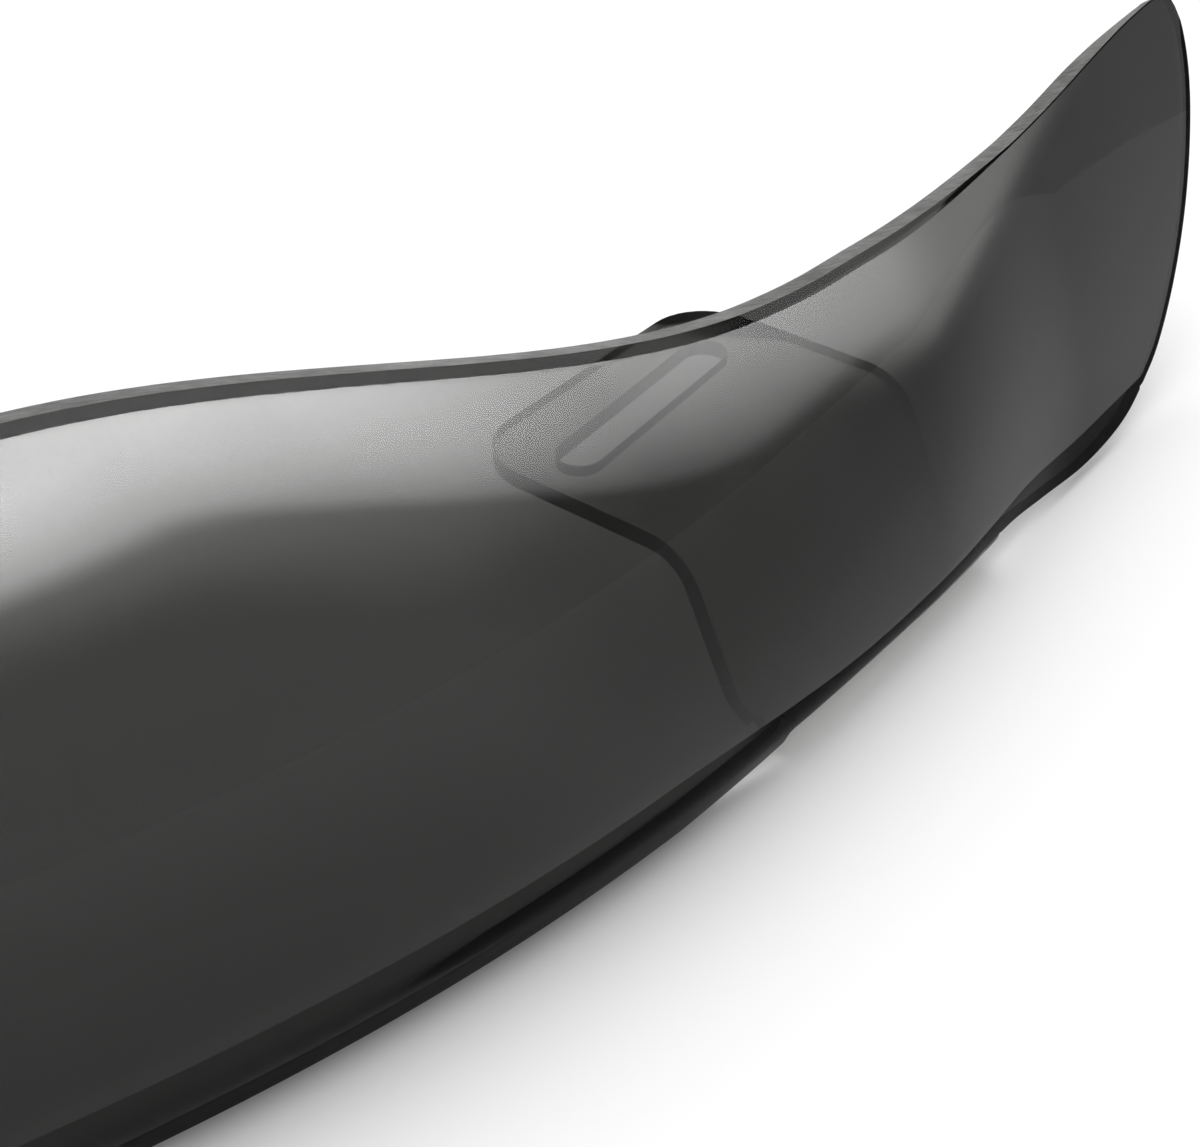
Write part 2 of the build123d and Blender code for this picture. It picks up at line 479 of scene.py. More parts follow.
@dataclass(frozen=True)
class CutEdge:
    """Milled edge of the sheet: satin grey with grain along the cut and a few smoother chips,
    painted lighter as glints.

    Below a level it is darker, as painted shade, and far from the middle it may be lighter, as
    painted light. Those two spans are in metres. The others are levels of the patterns.
    """

    name: str = "smoke_acrylic_cut_edge"
    dark: float = 0.035
    light: float = 0.15
    low_share: float = 0.5
    level_span: Pair = (0.036, 0.050)
    outer_light: float = 0.0
    outer_span: Pair = (0.575, 0.590)
    refraction: float = 1.30
    roughness: float = 0.55
    grain_scale: float = 1300.0
    grain_stretch: tuple[float, float, float] = (0.25, 1.0, 1.0)
    grain_span: Pair = (0.35, 0.68)
    grain_share: float = 0.55
    grain_height: float = 0.35
    grain_depth: float = 0.0002
    patch_scale: float = 90.0
    patch_span: Pair = (0.35, 0.65)
    patch_share: float = 0.25
    chip_scale: float = 700.0
    chip_size: Pair = (0.05, 0.16)
    chip_patches: Pair = (0.52, 0.66)
    chip_polish: float = 0.25

    def build(self) -> bpy.types.Material:
        """Makes the material."""
        material, tree = new_material(self.name)
        place = add_node(tree, "ShaderNodeTexCoord", output="Object")
        drawn_out = add_node(
            tree,
            "ShaderNodeVectorMath",
            {"operation": "MULTIPLY"},
            {0: place, 1: self.grain_stretch},
        )
        grain = add_node(
            tree,
            "ShaderNodeTexNoise",
            values={
                "Vector": drawn_out,
                "Scale": self.grain_scale,
                "Detail": 3.0,
                "Roughness": 0.7,
            },
        )
        patch = add_node(
            tree,
            "ShaderNodeTexNoise",
            values={"Vector": place, "Scale": self.patch_scale, "Detail": 2.0},
        )
        chips = add_node(
            tree,
            "ShaderNodeTexVoronoi",
            values={"Vector": place, "Scale": self.chip_scale},
            output="Distance",
        )
        # Chips: smoother, and painted lighter as glints.
        chip_glint = (1.0 - chips.ramp(*self.chip_size)) * patch.ramp(*self.chip_patches)
        tone = self.grain_share * grain.ramp(*self.grain_span)
        tone = tone + self.patch_share * patch.ramp(*self.patch_span)
        tone = (tone + chip_glint).clamped()
        across, _, level = split(tree, place)
        # Painted shade: the edge is darker below a level.
        tone = tone * (self.low_share + (1.0 - self.low_share) * level.ramp(*self.level_span))
        colour = mixed(tree, tone, grey(self.dark), grey(self.light))
        # Painted light: lighter far from the middle, used on the tabs' edges.
        if self.outer_light:
            outer = across.absolute().ramp(*self.outer_span)
            colour = mixed(tree, outer, colour, grey(self.outer_light))
        bump = add_node(
            tree,
            "ShaderNodeBump",
            values={"Strength": self.grain_height, "Distance": self.grain_depth, "Height": grain},
        )
        shader = add_node(
            tree,
            "ShaderNodeBsdfPrincipled",
            values={
                "Base Color": colour,
                "Roughness": self.roughness - self.chip_polish * chip_glint,
                "IOR": self.refraction,
                "Normal": bump,
            },
        )
        set_output(tree, shader)
        return material


@dataclass
class SheetForm:
    """Formed shape of the blade: where a place on the flat sheet comes to lie.

    The blend and the fade are a start and a length along the blade.
    """

    thickness: float = 3.0
    sweep_rate: float = 0.0218
    shoulder_start: float = 403.0
    shoulder_length: float = 214.0
    shoulder_turn: float = 16.3
    body_lean: Pair = (-14.0, 41.0)
    body_span: Pair = (-12.0, 96.0)
    tip_lean: Pair = (16.0, 42.0)
    tip_span: float = 105.0
    tip_blend: Pair = (530.0, 240.0)
    band_turn: float = 14.0
    band_height: float = 8.0
    band_bend: float = 8.0
    band_fade: Pair = (610.0, 60.0)
    centre_height: float = 100.0
    height_ramps: tuple[tuple[float, float, float], ...] = (
        (-25.3, 466.0, 132.0),
        (-5.4, 579.0, 88.0),
        (4.4, 658.0, 80.0),
    )
    top_cut_tilt: float = 12.0
    tip_outline: tuple[Pair, ...] = (
        (627.0, 9.0),
        (640.0, 8.2),
        (654.0, 5.7),
        (671.0, 3.6),
        (687.0, 5.0),
        (697.5, 9.8),
        (706.0, 16.0),
        (721.0, 32.5),
        (737.0, 53.0),
        (743.3, 64.0),
        (744.25, 70.0),
        (740.5, 73.2),
        (724.0, 75.2),
    )
    rear_shift: float = 0.0
    table_length: float = 800.0
    table_step: float = 0.5
    outline_steps: int = 24
    section_steps: int = 80

    def __post_init__(self) -> None:
        """Works out the plan curve and the tip's outline once."""
        middles = np.arange(0.0, self.table_length, self.table_step) + self.table_step / 2
        angle = np.radians(self.sweep(middles))
        self.table_arc = np.append(0.0, middles + self.table_step / 2)
        self.table_x = np.append(0.0, np.cumsum(np.cos(angle)) * self.table_step)
        self.table_y = np.append(0.0, np.cumsum(np.sin(angle)) * self.table_step)
        outline = self._outline_points()
        end = int(np.argmax(outline[:, 0]))
        self.tip_under = outline[: end + 1]
        self.tip_over = outline[end:][::-1]

    def _outline_points(self) -> Array:
        """Close points of the smooth curve through the tip's outline."""
        p = np.array(self.tip_outline)
        p = np.vstack((2 * p[0] - p[1], p, 2 * p[-1] - p[-2]))
        rows = []
        for a, b, c, d in zip(p, p[1:], p[2:], p[3:]):
            u = np.linspace(0.0, 1.0, self.outline_steps, endpoint=False)[:, None]
            rows.append(
                0.5
                * (
                    2 * b
                    + (c - a) * u
                    + (2 * a - 5 * b + 4 * c - d) * u**2
                    + (3 * b - a - 3 * c + d) * u**3
                )
            )
        return np.vstack(rows + [p[-2][None]])

    def sweep(self, arc: Array) -> Array:
        """Turn to the rear of the plan curve at a distance along it."""
        turn = smoother((arc - self.shoulder_start) / self.shoulder_length)
        return self.sweep_rate * arc + self.shoulder_turn * turn

    def plan(self, arc: Array) -> tuple[Array, Array]:
        """Point of the plan curve at a distance along it, on the right half."""
        x = np.interp(arc, self.table_arc, self.table_x)
        return x, np.interp(arc, self.table_arc, self.table_y) + self.rear_shift

    def lean(self, arc: Array, height: Array) -> Array:
        """Lean to the rear of the section.

        Args:
            arc: Distance along the blade.
            height: Height along the sheet.

        Returns:
            The angle.
        """
        low, high = self.body_span
        body = self.body_lean[0] + (self.body_lean[1] - self.body_lean[0]) * smooth(
            (height - low) / (high - low)
        )
        tip = self.tip_lean[0] + (self.tip_lean[1] - self.tip_lean[0]) * smooth(
            height / self.tip_span
        )
        mix = eased(arc, *self.tip_blend)
        band = self.band_turn * (1.0 - eased(height, self.band_height, self.band_bend))
        fade = 1.0 - eased(arc, *self.band_fade)
        return (1.0 - mix) * body + mix * tip - band * fade

    def section(self, arc: Array, height: Array) -> tuple[Array, Array, Array]:
        """Front face of the section.

        Args:
            arc: Distance along the blade.
            height: Height along the sheet.

        Returns:
            Distance to the rear, level, and lean in radians.
        """
        back = np.zeros_like(height)
        level = np.zeros_like(height)
        step = height / self.section_steps
        for i in range(self.section_steps):
            angle = np.radians(self.lean(arc, (i + 0.5) * step))
            back += np.sin(angle) * step
            level += np.cos(angle) * step
        return back, level, np.radians(self.lean(arc, height))

    def top(self, arc: Array) -> Array:
        """Height along the sheet of the top edge's front corner."""
        height = np.full_like(arc, self.centre_height)
        for change, start, length in self.height_ramps:
            height += change * eased(arc, start, length)
        over = np.interp(arc, self.tip_over[:, 0], self.tip_over[:, 1], left=np.inf)
        return np.minimum(height, over)

    def tip_lower(self, arc: Array) -> Array:
        """Height along the sheet of the tip's lower outline, 0 before the tip."""
        low = np.interp(arc, self.tip_under[:, 0], self.tip_under[:, 1])
        return np.where(arc < self.tip_under[0, 0], 0.0, low)

    def place(self, arc: Array, back: Array, level: Array) -> Array:
        """Points of the scene from places in the section planes.

        Args:
            arc: Distance along the blade, negative on the left half.
            back: Distance to the rear.
            level: Level.

        Returns:
            One row of three coordinates for each place, in millimetres.
        """
        x, y = self.plan(np.abs(arc))
        angle = np.radians(self.sweep(np.abs(arc)))
        side = np.where(arc < 0, -1.0, 1.0)
        return np.stack((side * (x - np.sin(angle) * back), y + np.cos(angle) * back, level), -1)

    def direction(self, arc: Array, back: Array, level: Array) -> Array:
        """Directions of the scene from directions in the section planes.

        Args:
            arc: Distance along the blade, negative on the left half.
            back: Component to the rear.
            level: Upward component.

        Returns:
            One row of three components for each.
        """
        angle = np.radians(self.sweep(np.abs(arc)))
        side = np.where(arc < 0, -1.0, 1.0)
        return np.stack((-side * np.sin(angle) * back, np.cos(angle) * back, level), -1)


@dataclass
class TabForm:
    """A tab that is folded back from the lower edge, leans, and is bent level."""

    centre: float
    turn: float
    slot_shift: float = 0.0
    slot_skew: float = 0.0
    width: float = 63.0
    fold_height: float = 9.0
    fold_radius: float = 7.5
    wall_lean: float = 25.0
    bend_radius: float = 8.0
    plate_top: float = 31.8
    reach: float = 64.0
    corner_radius: float = 11.0
    slot_back: float = 50.0
    slot_length: float = 46.0
    slot_width: float = 8.0
    slot_points: int = 32
    slit: float = 0.6
    left_ramp: float = 22.0
    right_ramp: float = 22.0
    ramp_level: float = 4.8
    ramp_gain: float = 1.12
    columns: int = 28
    column_passes: int = 6
    fold_rows: int = 16
    shade_rows: int = 5
    wall_rows: int = 4
    bend_rows: int = 10
    strip: float = 1.5
    corner_steps: int = 10

    def arcs(self) -> Array:
        """Columns of the tab, as distances along the blade."""
        return self.centre + np.linspace(-self.width / 2, self.width / 2, self.columns + 1)

    def relief(self, arc: Array) -> Array:
        """Height along the sheet of the sloped relief beside the tab, 0 away from it."""
        gain = self.ramp_gain * self.ramp_level
        left = self.centre - self.width / 2 - arc
        right = arc - self.centre - self.width / 2
        low = np.zeros_like(arc)
        for beside, length in ((left, self.left_ramp), (right, self.right_ramp)):
            if length:
                slope = np.maximum(low, gain * (1.0 - beside / length))
                low = np.where(beside > 0, slope, low)
        return low

    def path(self, form: SheetForm, arc: Array, row: int) -> tuple[tuple[Array, Array], ...]:
        """Front face of the tab at one row, in the section planes.

        Args:
            form: The blade's form.
            arc: Distances along the blade.
            row: Number of the row, counted from the start of the fold.

        Returns:
            The points and the directions through the sheet, each as two components.
        """
        height = np.full_like(arc, self.fold_height)
        back, level, lean = form.section(arc, height)
        normal = (np.cos(lean), -np.sin(lean))
        wall_lean = math.radians(self.wall_lean)
        fold = math.pi + lean - wall_lean
        radius = self.fold_radius
        centre = (back + radius * normal[0], level + radius * normal[1])
        part = min(row / self.fold_rows, 1.0)
        through = turned(normal, fold * part)
        point = (centre[0] - radius * through[0], centre[1] - radius * through[1])
        row -= self.fold_rows
        if row <= 0:
            return point, through
        bend = math.pi / 2 - wall_lean
        rise = self.bend_radius * (1.0 - math.cos(bend))
        length = (self.plate_top - form.thickness - rise - point[1]) / math.cos(wall_lean)
        part = min(row / self.wall_rows, 1.0)
        point = (
            point[0] + math.sin(wall_lean) * length * part,
            point[1] + math.cos(wall_lean) * length * part,
        )
        row -= self.wall_rows
        if row <= 0:
            return point, through
        radius = self.bend_radius
        centre = (point[0] - radius * through[0], point[1] - radius * through[1])
        through = turned(through, -np.full_like(arc, bend * min(row / self.bend_rows, 1.0)))
        return (centre[0] + radius * through[0], centre[1] + radius * through[1]), through

    def axes(self, form: SheetForm) -> tuple[Array, Array, Array]:
        """Origin of the tab's plan, the direction along its plate and the direction to its rear."""
        x, y = form.plan(np.array(self.centre))
        angle = math.radians(float(form.sweep(np.array(self.centre))) + self.turn)
        along = np.array((math.cos(angle), math.sin(angle)))
        return np.array((float(x), float(y))), along, np.array((-along[1], along[0]))

    def rows(self, form: SheetForm) -> tuple[Array, Array]:
        """Front face of the fold, wall and bend, on the right half.

        Args:
            form: The blade's form.

        Returns:
            Points and directions through the sheet, by row and column.
        """
        origin, along, _ = self.axes(form)
        targets = self.arcs() - self.centre
        points, throughs = [], []
        for row in range(self.fold_rows + self.wall_rows + self.bend_rows + 1):
            arc = self.arcs()
            for _ in range(self.column_passes if row else 0):
                point, _ = self.path(form, arc, row)
                across = (form.place(arc, *point)[:, :2] - origin) @ along
                arc = arc - (across - targets)
            point, through = self.path(form, arc, row)
            points.append(form.place(arc, *point))
            throughs.append(form.direction(arc, *through))
        return np.array(points), np.array(throughs)

    def plate_edge(self) -> list[Pair]:
        """Outline of the plate behind its first strip, from its left side round the rear."""
        half = self.width / 2
        inner = half - self.corner_radius
        base = self.reach - self.corner_radius
        left, right = [], []
        for i in range(self.corner_steps + 1):
            angle = math.pi / 2 * i / self.corner_steps
            out = self.corner_radius * math.cos(angle)
            up = self.corner_radius * math.sin(angle)
            left.append((-inner - out, base + up))
            right.append((inner + out, base + up))
        return left + right[::-1]

    def slot_edge(self) -> list[Pair]:
        """Outline of the slot in the plate's plan."""
        radius = self.slot_width / 2
        straight = self.slot_length / 2 - radius
        skew = math.radians(self.slot_skew)
        edge = []
        for i in range(self.slot_points):
            angle = 2 * math.pi * (i + 0.5) / self.slot_points
            x = radius * math.cos(angle) + math.copysign(straight, math.cos(angle))
            y = radius * math.sin(angle)
            across = x * math.cos(skew) - y * math.sin(skew) + self.slot_shift
            edge.append((across, x * math.sin(skew) + y * math.cos(skew) + self.slot_back))
        return edge


class SheetMesh:
    """Builds the whole sheet as one closed mesh, from a surface that gets its wall afterwards."""

    join_distance = 0.002

    def __init__(self) -> None:
        """Starts an empty mesh with a layer for the direction through the sheet."""
        self.bm = bmesh.new()
        self.through = self.bm.verts.layers.float_vector.new("through")
        self.rear = self.bm.verts.layers.int.new("rear")

    def grid(self, points: Array, through: Array, finish: list[Finish]) -> None:
        """Adds a grid of quads.

        Args:
            points: Points by row and column, in millimetres.
            through: Directions through the sheet, with the wall's length in millimetres.
            finish: Finish of each row of quads.
        """
        rows, columns = points.shape[:2]
        half = 0.5
        made = bmesh.ops.create_grid(
            self.bm, x_segments=columns - 1, y_segments=rows - 1, size=half
        )["verts"]
        for face in {face for vert in made for face in vert.link_faces}:
            row = math.floor((face.calc_center_median().y + half) * (rows - 1))
            face.material_index = finish[row].value
        for vert in made:
            column = round((vert.co.x + half) * (columns - 1))
            row = round((vert.co.y + half) * (rows - 1))
            vert.co = Vector(points[row, column]) * MM
            vert[self.through] = Vector(through[row, column]) * MM

    def loop(self, points: Array, through: Array) -> list[bmesh.types.BMEdge]:
        """Adds a closed chain of edges.

        Args:
            points: Points along the chain, in millimetres.
            through: Direction through the sheet, with the wall's length in millimetres.

        Returns:
            The edges.
        """
        verts = []
        for point in points:
            vert = self.bm.verts.new(Vector(point) * MM)
            vert[self.through] = Vector(through) * MM
            verts.append(vert)
        return [self.bm.edges.new(pair) for pair in zip(verts, verts[1:] + verts[:1])]

    def merge(self) -> None:
        """Joins what lies on one spot."""
        bmesh.ops.remove_doubles(self.bm, verts=self.bm.verts[:], dist=self.join_distance * MM)

    def give_wall(self) -> None:
        """Closes the surface to a sheet of its full thickness, and finishes its cut sides."""
        made = bmesh.ops.extrude_face_region(
            self.bm, geom=self.bm.faces[:], use_keep_orig=True
        )["geom"]
        for item in made:
            if isinstance(item, bmesh.types.BMVert):
                item[self.rear] = 1
                item.co += item[self.through]
        bmesh.ops.recalc_face_normals(self.bm, faces=self.bm.faces[:])
        sides = {
            face for face in self.bm.faces if len({vert[self.rear] for vert in face.verts}) > 1
        }
        for face in self.bm.faces:
            face.smooth = True
        for face in sides:
            beside = {other for edge in face.edges for other in edge.link_faces} - sides
            tab = any(other.material_index == Finish.TAB_SHEET.value for other in beside)
            face.material_index = (Finish.TAB_EDGE if tab else Finish.CUT_EDGE).value

    def to_object(self, name: str) -> bpy.types.Object:
        """Makes the object.

        Args:
            name: The object's name.

        Returns:
            The object, at the origin.
        """
        mesh = bpy.data.meshes.new(name)
        self.bm.to_mesh(mesh)
        self.bm.free()
        made = bpy.data.objects.new(name, mesh)
        bpy.context.scene.collection.objects.link(made)
        return made


@dataclass
class Deflector:
    """The formed sheet: blade, rounded tips and four folded tabs, as one piece.

    A ramp is its start and its length along the blade.
    """

    form: SheetForm
    tabs: tuple[TabForm, ...]
    column_step: float = 3.0
    tip_step: float = 1.6
    tip_gap: float = 0.06
    lower_rows: int = 6
    margin_rows: int = 6
    band_rows: int = 6
    band_share: float = 0.05
    face_rows: int = 36
    top_rows: int = 2
    low_margin: tuple[float, float, float] = (10.0, 4.5, 2.0)
    low_margin_ramps: tuple[Pair, Pair] = ((540.0, 60.0), (640.0, 30.0))
    top_margin: Pair = (1.7, 0.3)
    top_margin_ramp: Pair = (610.0, 60.0)
    margin_share: float = 0.3
    level_cut_ramp: Pair = (690.0, 45.0)
    edge_round: float = 0.25
    edge_angle: float = 50.0
    fold_height: float = 9.0

    def columns(self) -> Array:
        """Distances along the right half of the blade at which it has a column of points."""
        under = self.form.tip_under
        start = under[0, 0]
        length = np.append(0.0, np.cumsum(np.hypot(*np.diff(under, axis=0).T)))
        count = int(length[-1] / self.tip_step)
        tip = np.interp(np.linspace(0.0, length[-1], count + 1), length, under[:, 0])
        tip = tip[tip < under[-1, 0] - self.tip_gap]
        fixed = [0.0, start]
        for tab in self.tabs:
            half = tab.width / 2
            fixed += [tab.centre - half - tab.slit, tab.centre + half + tab.slit]
            fixed += [tab.centre - half, tab.centre + half]
            if tab.left_ramp:
                fixed.append(tab.centre - half - tab.left_ramp)
            if tab.right_ramp:
                fixed.append(tab.centre + half + tab.right_ramp)
        stops = sorted(value for value in set(fixed) if value <= start)
        arcs = []
        for low, high in zip(stops, stops[1:]):
            middle = (low + high) / 2
            tab = next((t for t in self.tabs if abs(t.centre - middle) < t.width / 4), None)
            steps = tab.columns if tab else max(1, math.ceil((high - low) / self.column_step))
            arcs.extend(np.linspace(low, high, steps, endpoint=False))
        late = [t.arcs()[t.arcs() >= start - 1e-6] for t in self.tabs]
        rest = np.concatenate([tip] + late + [np.array([v for v in fixed if v > start])])
        rest = np.unique(np.round(rest, 6))
        return np.unique(np.concatenate((np.array(arcs), rest)))

    def lower(self, arc: Array) -> Array:
        """Height along the sheet of the free lower edge."""
        low = self.form.tip_lower(arc)
        for tab in self.tabs:
            low = np.maximum(low, tab.relief(arc))
        return low

    def wall_direction(self, arc: Array, lean: Array, cut: Array) -> Array:
        """Directions through the sheet, longer at the top, where the cut is nearly level.

        Args:
            arc: Distance along the blade, negative on the left half.
            lean: Lean of the section in radians.
            cut: Share of the level cut, 0 away from the top edge.

        Returns:
            Directions with the wall's length.
        """
        t = self.form.thickness
        rise = t * np.tan(lean - math.radians(self.form.top_cut_tilt)) * cut
        back = t * np.cos(lean) + rise * np.sin(lean)
        level = -t * np.sin(lean) + rise * np.cos(lean)
        return self.form.direction(arc, back, level)

    def blade_heights(self, arcs: Array, low: Array) -> Array:
        """Heights along the sheet of the blade's rows of points, from the folds' level upwards.

        Rows are close together in the painted-shade margins and in the turned band at the foot.

        Args:
            arcs: Distances along the blade, negative on the left half.
            low: Height along the sheet of the free lower edge there.

        Returns:
            Heights by row and column.
        """
        size = np.abs(arcs)
        base = np.maximum(low, self.fold_height)
        top = self.form.top(size)
        most = self.margin_share * (top - base)
        body, shoulder, tip = self.low_margin
        to_shoulder, to_tip = self.low_margin_ramps
        low_margin = body + (shoulder - body) * eased(size, *to_shoulder)
        low_margin = low_margin + (tip - shoulder) * eased(size, *to_tip)
        low_margin = np.minimum(low_margin * np.hypot(1.0, np.gradient(base, arcs)), most)
        body, tip = self.top_margin
        top_margin = body + (tip - body) * eased(size, *self.top_margin_ramp)
        top_margin = np.minimum(top_margin, most)
        foot = np.linspace(0.0, 1.0, self.margin_rows, endpoint=False)
        band = np.linspace(0.0, 1.0, self.band_rows, endpoint=False) * self.band_share
        face = np.linspace(0.0, 1.0, self.face_rows, endpoint=False)
        face = self.band_share + (1.0 - self.band_share) * face
        face = np.concatenate((band, face))
        edge = np.linspace(1.0, 0.0, self.top_rows + 1)
        return np.concatenate(
            (
                base + low_margin * foot[:, None],
                base + low_margin + (top - top_margin - base - low_margin) * face[:, None],
                top - top_margin * edge[:, None],
            )
        )

    def add_strip(
        self, sheet: SheetMesh, arcs: Array, heights: Array, cut: Array, finish: list[Finish]
    ) -> None:
        """Adds a part of the blade's surface.

        Args:
            sheet: The mesh.
            arcs: Distances along the blade, by column, negative on the left half.
            heights: Heights along the sheet, by row and column.
            cut: Shares of the level cut, by row and column.
            finish: Finish of each row of quads.
        """
        across = np.broadcast_to(arcs, heights.shape)
        back, level, lean = self.form.section(np.abs(across), heights)
        points = self.form.place(across, back, level)
        sheet.grid(points, self.wall_direction(across, lean, cut), finish)

    def add_blade(self, sheet: SheetMesh) -> None:
        """Adds the blade's surface over its whole width, then what lies below the folds' level.

        Args:
            sheet: The mesh.
        """
        right = self.columns()
        arcs = np.concatenate((-right[:0:-1], right))
        size = np.abs(arcs)
        low = self.lower(size)
        heights = self.blade_heights(arcs, low)
        cut = np.zeros_like(heights)
        cut[-1] = 1.0 - eased(size, *self.level_cut_ramp)
        # The foot's rows and the top edge's rows get the painted shade margin.
        finish = [Finish.DARK_MARGIN] * self.margin_rows
        finish += [Finish.GLOSS_FACE] * (self.band_rows + self.face_rows)
        finish += [Finish.DARK_MARGIN] * self.top_rows
        self.add_strip(sheet, arcs, heights, cut, finish)
        free = low < self.fold_height - 0.01
        for tab in self.tabs:
            free &= np.abs(size - tab.centre) > tab.width / 2 + tab.slit / 2
        ends = np.flatnonzero(np.diff(np.concatenate(([0], free.astype(int), [0]))))
        shares = np.linspace(0.0, 1.0, self.lower_rows + 1)[:, None]
        for first, last in zip(ends[::2], ends[1::2]):
            foot = low[first:last]
            heights = foot + (self.fold_height - foot) * shares
            # Below the folds' level the sheet gets the painted shade margin too.
            finish = [Finish.DARK_MARGIN] * self.lower_rows
            self.add_strip(sheet, arcs[first:last], heights, np.zeros_like(heights), finish)

    def add_tab(self, sheet: SheetMesh, tab: TabForm, side: float) -> None:
        """Adds one tab with its slot.

        Args:
            sheet: The mesh.
            tab: The tab.
            side: 1 on the right half and -1 on the left half.
        """
        mirror = np.array((side, 1.0, 1.0))
        points, through = tab.rows(self.form)
        thick = self.form.thickness
        # The first rows of each fold get the painted shade margin.
        pale_rows = tab.fold_rows - tab.shade_rows + tab.wall_rows + tab.bend_rows
        finish = [Finish.DARK_MARGIN] * tab.shade_rows + [Finish.TAB_SHEET] * pale_rows
        sheet.grid(points * mirror, through * mirror * thick, finish)
        origin, along, rear = tab.axes(self.form)
        level = tab.plate_top - thick
        last = points[-1]
        strip = last + np.append(rear * tab.strip, 0.0)
        upward = np.array((0.0, 0.0, thick))
        ends = np.array((last, strip)) * mirror
        sheet.grid(ends, np.broadcast_to(upward, (2, *last.shape)), [Finish.TAB_SHEET])

        def plate(places: list[Pair]) -> Array:
            """Points on the plate from places in its plan."""
            flat = np.array([origin + along * x + rear * y for x, y in places])
            return np.column_stack((flat, np.full(len(flat), level))) * mirror

        rim = np.vstack((strip * mirror, plate(tab.plate_edge())[::-1]))
        edges = sheet.loop(rim, upward) + sheet.loop(plate(tab.slot_edge()), upward)
        filled = bmesh.ops.triangle_fill(
            sheet.bm, edges=edges, use_beauty=True, use_dissolve=False, normal=(0.0, 0.0, 1.0)
        )
        for item in filled["geom"]:
            if isinstance(item, bmesh.types.BMFace):
                item.material_index = Finish.TAB_SHEET.value

    def build(self) -> bpy.types.Object:
        """Builds the sheet, dresses it and sets it on its body."""
        sheet = SheetMesh()
        self.add_blade(sheet)
        for tab in self.tabs:
            self.add_tab(sheet, tab, 1.0)
            self.add_tab(sheet, tab, -1.0)
        sheet.merge()
        sheet.give_wall()
        piece = sheet.to_object("formed_sheet")
        finishes = {
            # Gloss face: painted light under the top edge and painted shade toward the tips.
            Finish.GLOSS_FACE: PaintedLightAcrylic(),
            Finish.CUT_EDGE: CutEdge(),
            # Painted shade: a darker copy of the smoke acrylic.
            Finish.DARK_MARGIN: PlainAcrylic("smoke_acrylic_painted_shade_margin", tint=0.050, refraction=1.04),
            # Painted light: the tabs' sheet is a far lighter copy of the same smoke acrylic.
            Finish.TAB_SHEET: PlainAcrylic("smoke_acrylic_tab", tint=0.72),
            # Painted light: the tabs' cut edges are a lighter copy of the cut edge, lightest far
            # from the middle.
            Finish.TAB_EDGE: CutEdge(
                "smoke_acrylic_tab_edge", dark=0.38, light=0.50, low_share=1.0, outer_light=0.85
            ),
        }
        for slot in Finish:
            piece.data.materials.append(finishes[slot].build())
        rounding = piece.modifiers.new("edge_round", "BEVEL")
        rounding.width = self.edge_round * MM
        rounding.segments = 2
        rounding.limit_method = "ANGLE"
        rounding.angle_limit = math.radians(self.edge_angle)
        rounding.harden_normals = True
        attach(piece, "root")
        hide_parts("deflector")
        return piece


@dataclass(frozen=True)
class Card:
    """Bright card in front of the sheet, which only its gloss mirrors.

    Its places are azimuths, 0 to the front and 90 toward +X, and elevations, in degrees. Above its
    slanting lower border it brightens with each degree, up to a limit.
    """

    slope: float = 5.5
    limit: float = 70.0
    border: float = 37.4
    border_fall: Pair = (34.0, 78.0)
    end_drop: float = 2.0
    end_drop_span: Pair = (84.0, 92.0)
    soft_border: float = 4.0
    left_gain: float = 0.35
    left_gain_span: Pair = (36.0, 48.0)
    right_loss: float = 0.79
    right_loss_span: Pair = (36.0, 70.0)
    right_end: Pair = (80.0, 100.0)
    left_end: Pair = (-60.0, -10.0)
    top_end: Pair = (56.0, 66.0)

    def strength(self, azimuth: Sock, elevation: Sock) -> Sock:
        """Sets how bright the card is in each direction.

        Args:
            azimuth: Azimuth of the direction.
            elevation: Elevation of the direction.

        Returns:
            The strength.
        """
        border = self.border * (1.0 - azimuth.ramp(*self.border_fall))
        border = border - self.end_drop * azimuth.ramp(*self.end_drop_span)
        above = (elevation - border).at_least(0.0)
        slope = 1.0 + self.left_gain - self.left_gain * azimuth.ramp(*self.left_gain_span)
        slope = self.slope * (slope - self.right_loss * azimuth.ramp(*self.right_loss_span))
        slope = slope * (1.0 - azimuth.ramp(*self.right_end))
        card = (slope * above * above.ramp(0.0, self.soft_border)).at_most(self.limit)
        return card * azimuth.ramp(*self.left_end) * (1.0 - elevation.ramp(*self.top_end))


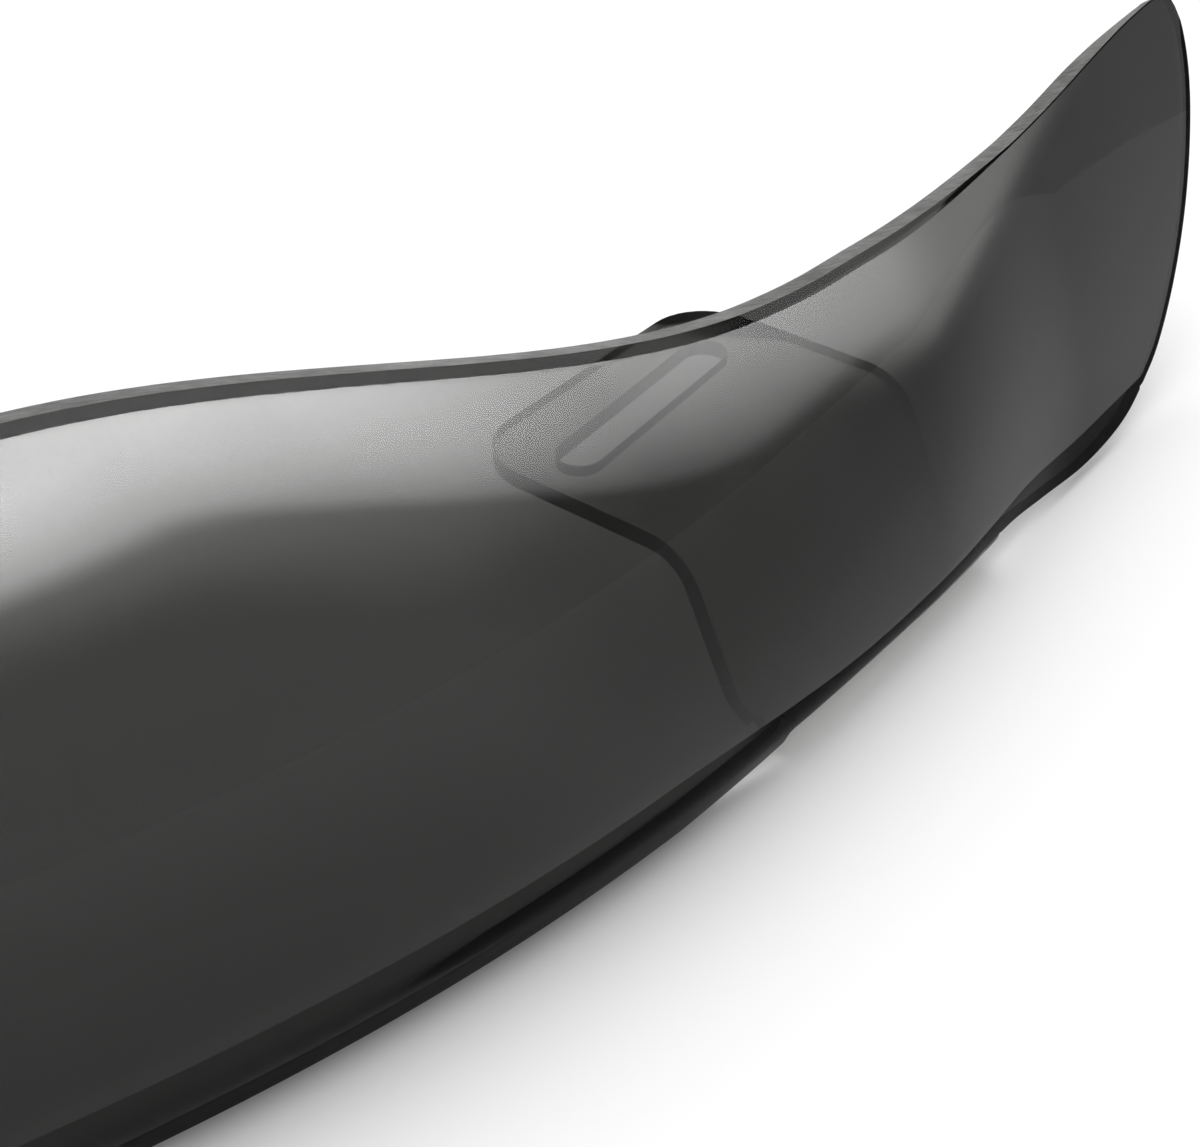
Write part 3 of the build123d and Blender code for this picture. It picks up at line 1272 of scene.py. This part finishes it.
@dataclass
class Studio:
    """Floor, soft surrounding light and camera.

    The camera's place is in millimetres. The light's spans are in degrees, apart from the box's,
    which is the cosine of the angle from its middle.
    """

    camera_place: tuple[float, float, float] = (467.381, -198.253, 193.738)
    camera_yaw: float = 19.95
    camera_pitch: float = -37.513
    focal_length: float = 54.35
    floor_reach: float = 12.0
    floor_grey: float = 0.92
    low_sky: float = 0.24
    haze: float = 0.65
    haze_below: float = 2.0
    haze_above: float = 14.0
    haze_rise: float = 10.0
    haze_rise_span: Pair = (82.0, 96.0)
    roof: float = 1.8
    roof_span: Pair = (48.0, 66.0)
    box: float = 1.3
    box_span: Pair = (0.70, 0.95)
    box_direction: tuple[float, float, float] = (-0.25, 0.15, 0.956)
    card: Card = Card()

    def add_floor(self) -> bpy.types.Object:
        """Adds the plain pale floor."""
        bm = bmesh.new()
        bmesh.ops.create_grid(bm, x_segments=2, y_segments=2, size=self.floor_reach)
        mesh = bpy.data.meshes.new("floor")
        bm.to_mesh(mesh)
        bm.free()
        floor = bpy.data.objects.new("floor", mesh)
        bpy.context.scene.collection.objects.link(floor)
        material, tree = new_material("floor_white")
        shader = add_node(
            tree,
            "ShaderNodeBsdfDiffuse",
            values={"Color": (self.floor_grey, self.floor_grey, self.floor_grey, 1.0)},
        )
        set_output(tree, shader)
        mesh.materials.append(material)
        return floor

    def mirrored(self, tree: bpy.types.NodeTree) -> Sock:
        """Picks the rays that show the card.

        Args:
            tree: The world's node tree.

        Returns:
            1 for a ray that gloss mirrors and that no matt surface has scattered, or else 0.
        """
        glossy = add_node(tree, "ShaderNodeLightPath", output="Is Glossy Ray")
        through = add_node(tree, "ShaderNodeLightPath", output="Is Transmission Ray")
        scattered = add_node(tree, "ShaderNodeLightPath", output="Diffuse Depth")
        return glossy * (1.0 - through) * scattered.math("LESS_THAN", scattered, 0.5)

    def add_world(self) -> None:
        """Adds the soft light: low sky, haze over the floor, roof, a box overhead and the card."""
        world = bpy.data.worlds.new("studio")
        bpy.context.scene.world = world
        world.use_nodes = True
        tree = world.node_tree
        tree.nodes.clear()
        x, y, z = split(tree, add_node(tree, "ShaderNodeTexCoord", output="Generated"))
        elevation = z.math("ARCSINE", z) * math.degrees(1.0)
        azimuth = x.math("ARCTAN2", x, 0.0 - y) * math.degrees(1.0)
        card = self.card.strength(azimuth, elevation)
        mirrored = self.mirrored(tree)
        toward = x * self.box_direction[0] + y * self.box_direction[1] + z * self.box_direction[2]
        box = self.box * toward.ramp(*self.box_span)
        roof = self.roof * elevation.ramp(*self.roof_span)
        foot = self.haze_rise * azimuth.ramp(*self.haze_rise_span)
        haze = 1.0 - elevation.ramp(foot - self.haze_below, foot + self.haze_above)
        strength = self.low_sky + self.haze * haze + roof + box + card * mirrored
        light = add_node(
            tree,
            "ShaderNodeBackground",
            values={"Color": (1.0, 1.0, 1.0, 1.0), "Strength": strength},
        )
        set_output(tree, light, "ShaderNodeOutputWorld")

    def add_camera(self) -> bpy.types.Object:
        """Adds the camera at the photograph's place."""
        data = bpy.data.cameras.new("camera")
        data.sensor_width = 36.0
        data.lens = self.focal_length
        data.clip_start = 0.01
        camera = bpy.data.objects.new("camera", data)
        bpy.context.scene.collection.objects.link(camera)
        yaw, pitch = math.radians(self.camera_yaw), math.radians(self.camera_pitch)
        forward = Vector(
            (math.sin(yaw) * math.cos(pitch), math.cos(yaw) * math.cos(pitch), math.sin(pitch))
        )
        right = Vector((math.cos(yaw), -math.sin(yaw), 0.0))
        up = right.cross(forward)
        turn = Matrix((right, up, -forward)).transposed().to_4x4()
        camera.matrix_world = Matrix.Translation(Vector(self.camera_place) * MM) @ turn
        bpy.context.scene.camera = camera
        return camera

    def build(self) -> None:
        """Builds the studio."""
        self.add_floor()
        self.add_world()
        self.add_camera()
        bpy.context.scene.view_settings.view_transform = "Standard"


def main() -> None:
    """Builds the scene in order."""
    logging.basicConfig(level=logging.INFO, format="%(name)s: %(message)s")
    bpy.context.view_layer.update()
    form = SheetForm(rear_shift=-93.54)
    inner_centre = 190.0
    inner_turn = -float(form.sweep(np.array(inner_centre)))
    tabs = (
        TabForm(centre=604.0, turn=2.5, slot_shift=-1.9, slot_skew=4.0, right_ramp=0.0),
        TabForm(centre=inner_centre, turn=inner_turn),
    )
    piece = Deflector(form, tabs).build()
    mesh = piece.data
    log.info("%s: %d vertices, %d faces", piece.name, len(mesh.vertices), len(mesh.polygons))
    Studio().build()


if __name__ == "__main__":
    main()
